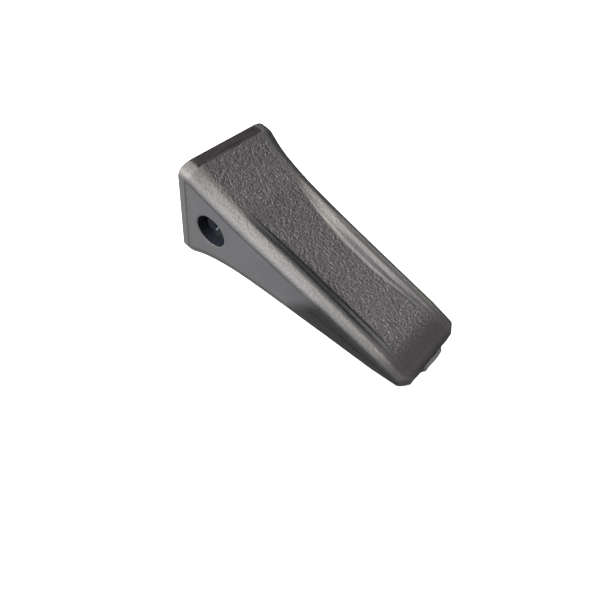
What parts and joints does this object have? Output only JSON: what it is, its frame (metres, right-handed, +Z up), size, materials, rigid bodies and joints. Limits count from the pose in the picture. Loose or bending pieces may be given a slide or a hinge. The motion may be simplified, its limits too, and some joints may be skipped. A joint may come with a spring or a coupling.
{
  "type": "excavator bucket tooth",
  "caption": "Side-pin excavator bucket tooth: forged hollow wedge point on a weld-on nose, held by a cross pin with a split ring and rubber cushion.",
  "frame": {"origin": "centre of the nose's flat weld face", "axes": "+X from the weld face towards the digging edge, +Y to the left seen from behind the tooth, +Z up, at right angles to the pin"},
  "size_m": [0.202, 0.0748, 0.0786],
  "materials": {
    "forged_steel": "satin",
    "nose_steel": "matte",
    "pin_steel": "satin",
    "spring_steel": "satin",
    "cushion_rubber": "matte"
  },
  "bodies": {
    "nose": {"adapter_nose": "nose_steel", "retainer_ring": "spring_steel", "retainer_cushion": "cushion_rubber"},
    "point": {"tooth_point": "forged_steel"},
    "pin": {"side_pin": "pin_steel"}
  },
  "joints": [
    {"name": "point_play", "type": "slide", "parent": "nose", "child": "point", "axis": [1, 0, 0], "range_m": [0, 0.0013]},
    {"name": "pin_slide", "type": "slide", "parent": "nose", "child": "pin", "axis": [0, -1, 0], "range_m": [0, 0.075], "deforming": ["retainer_ring"]}
  ]
}
